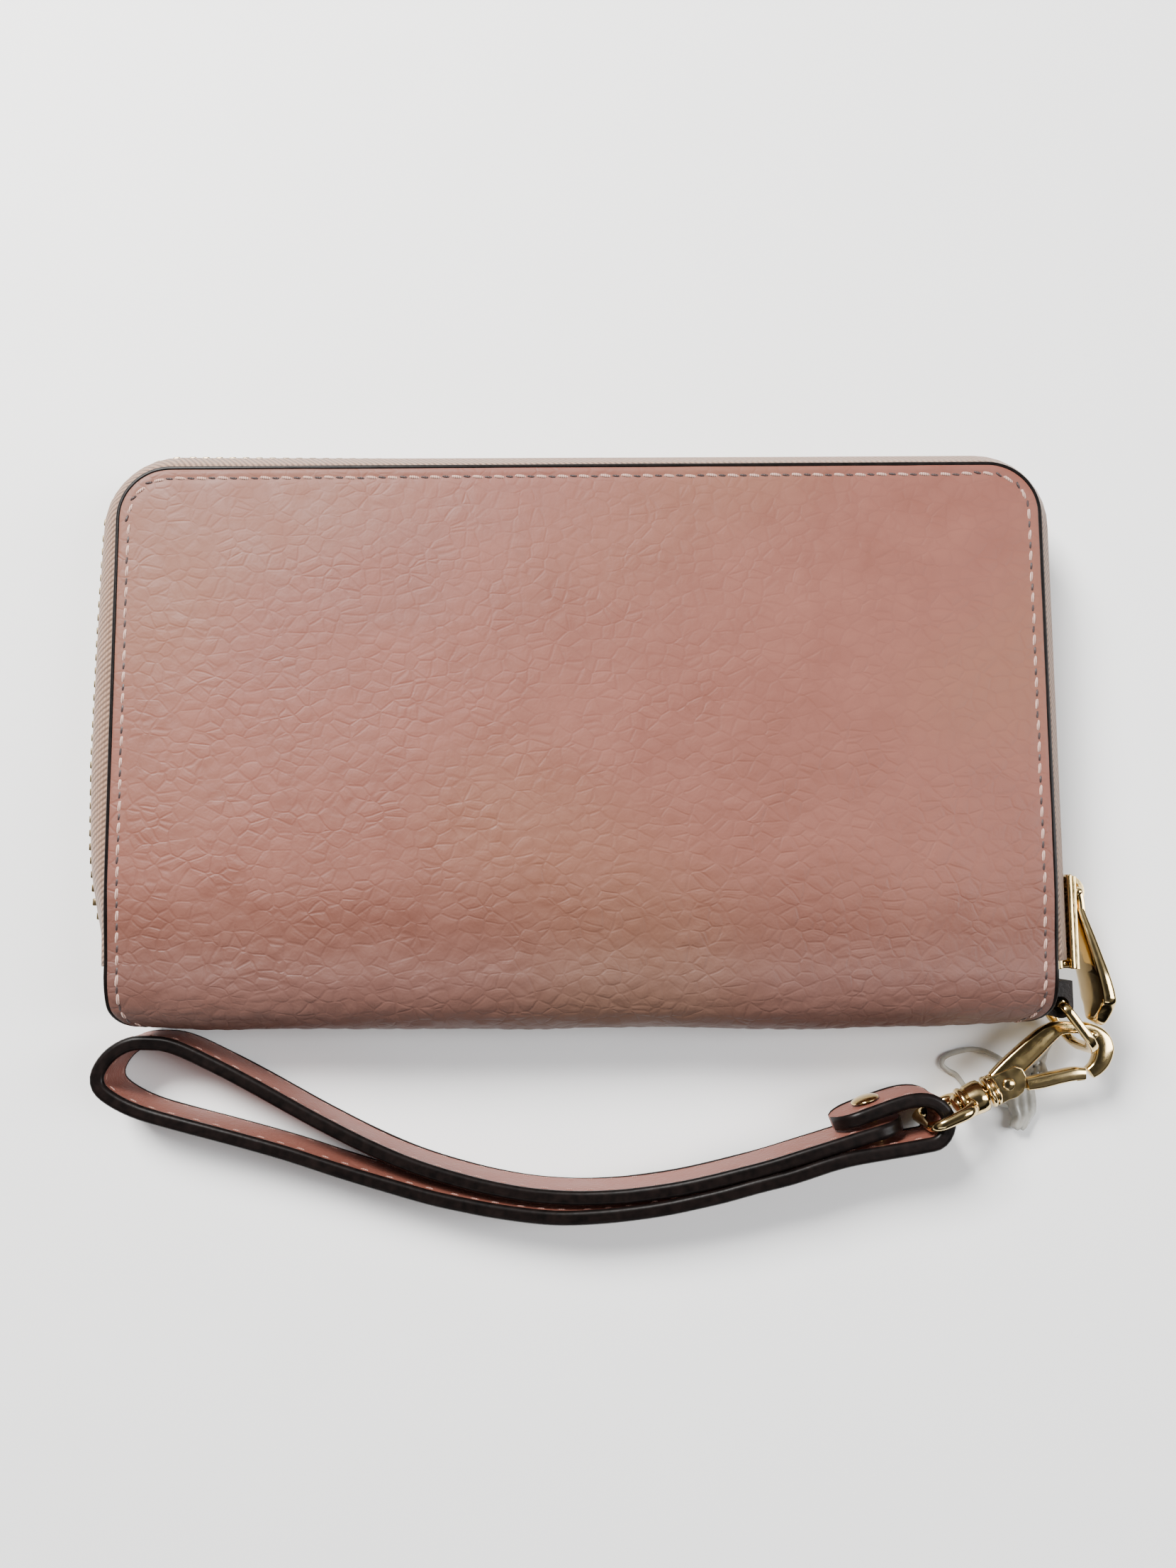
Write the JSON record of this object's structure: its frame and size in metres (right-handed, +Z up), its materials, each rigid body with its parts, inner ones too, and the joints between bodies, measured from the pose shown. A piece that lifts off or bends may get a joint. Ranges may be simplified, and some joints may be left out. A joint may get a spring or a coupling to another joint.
{
  "type": "wristlet wallet",
  "caption": "Flat zip-around wristlet wallet in pebbled leather with a clip-on wrist strap, spring clasp and long zip puller.",
  "frame": {"origin": "middle of the front cover's underside, on the surface that the wallet lies on", "axes": "+X along the spine towards the end with the zip slider and ring, +Y from the spine to the opening edge, +Z up through the back cover"},
  "size_m": [0.1787, 0.1353, 0.02],
  "materials": {
    "leather": "pebbled, satin",
    "edge_leather": "painted edge",
    "lining": "matte woven",
    "board": "matte",
    "zip_tape": "woven",
    "gold_metal": "polished pale gold plate",
    "clear_plastic": "clear, glossy"
  },
  "bodies": {
    "front_half": {"front_cover": "leather", "spine_front": "leather", "front_board": "board", "front_lining": "lining", "phone_pocket": "leather", "gusset_left": "lining", "gusset_right": "lining", "zip_tape_front": "zip_tape", "zip_teeth_front": "gold_metal", "zip_top_stop_front": "gold_metal", "zip_bottom_stop": "gold_metal", "ring_tab": "edge_leather"},
    "back_half": {"back_cover": "leather", "spine_back": "leather", "back_board": "board", "back_lining": "lining", "card_pocket_left_1": "leather", "card_pocket_left_2": "leather", "card_pocket_left_3": "leather", "card_pocket_right_1": "leather", "card_pocket_right_2": "leather", "card_pocket_right_3": "leather", "zip_tape_back": "zip_tape", "zip_teeth_back": "gold_metal", "zip_top_stop_back": "gold_metal"},
    "slider": {"zip_slider": "gold_metal"},
    "puller": {"zip_puller": "gold_metal", "puller_dome": "gold_metal"},
    "ring": {"d_ring": "gold_metal"},
    "clasp": {"clasp_hook": "gold_metal", "hook_stud": "gold_metal", "gate_rivet": "gold_metal", "gate_spring": "gold_metal", "swivel_post": "gold_metal", "tag_loop": "clear_plastic", "tag_lock": "clear_plastic", "tag_plug": "clear_plastic"},
    "gate": {"clasp_gate": "gold_metal"},
    "swivel": {"swivel_eye": "gold_metal"},
    "strap": {"wrist_strap": "leather", "strap_rivet": "gold_metal", "strap_rivet_base": "gold_metal"}
  },
  "joints": [
    {"name": "cover_open", "type": "hinge", "parent": "front_half", "child": "back_half", "pos_m": [0, -0.0485, 0.01], "axis": [1, 0, 0], "range_deg": [0, 70], "deforming": ["gusset_left", "gusset_right"]},
    {"name": "zip_travel", "type": "slide", "parent": "front_half", "child": "slider", "axis": [0, 1, 0], "range_m": [0, 0.055]},
    {"name": "pull_swing", "type": "hinge", "parent": "slider", "child": "puller", "pos_m": [0.0865, -0.0259, 0.01], "axis": [0, 0, 1], "range_deg": [0, 150]},
    {"name": "ring_swing", "type": "hinge", "parent": "front_half", "child": "ring", "pos_m": [0.0826, -0.0454, 0.0084], "axis": [0, 0, 1], "range_deg": [0, 8]},
    {"name": "clasp_swing", "type": "hinge", "parent": "ring", "child": "clasp", "pos_m": [0.0879, -0.0528, 0.00735], "axis": [0, 0, 1], "range_deg": [0, 25]},
    {"name": "gate_open", "type": "hinge", "parent": "clasp", "child": "gate", "pos_m": [0.0744, -0.0593, 0.00735], "axis": [0, 0, 1], "range_deg": [0, 14], "stiffness_Nm_per_rad": 0.01, "springref_deg": -5.73},
    {"name": "swivel_turn", "type": "hinge", "parent": "clasp", "child": "swivel", "pos_m": [0.0713, -0.0607, 0.00735], "axis": [0.9135, 0.4067, 0], "range_deg": [0, 180]},
    {"name": "strap_swing", "type": "hinge", "parent": "swivel", "child": "strap", "pos_m": [0.05979, -0.06582, 0.00735], "axis": [0, 0, 1], "range_deg": [0, 60]}
  ]
}
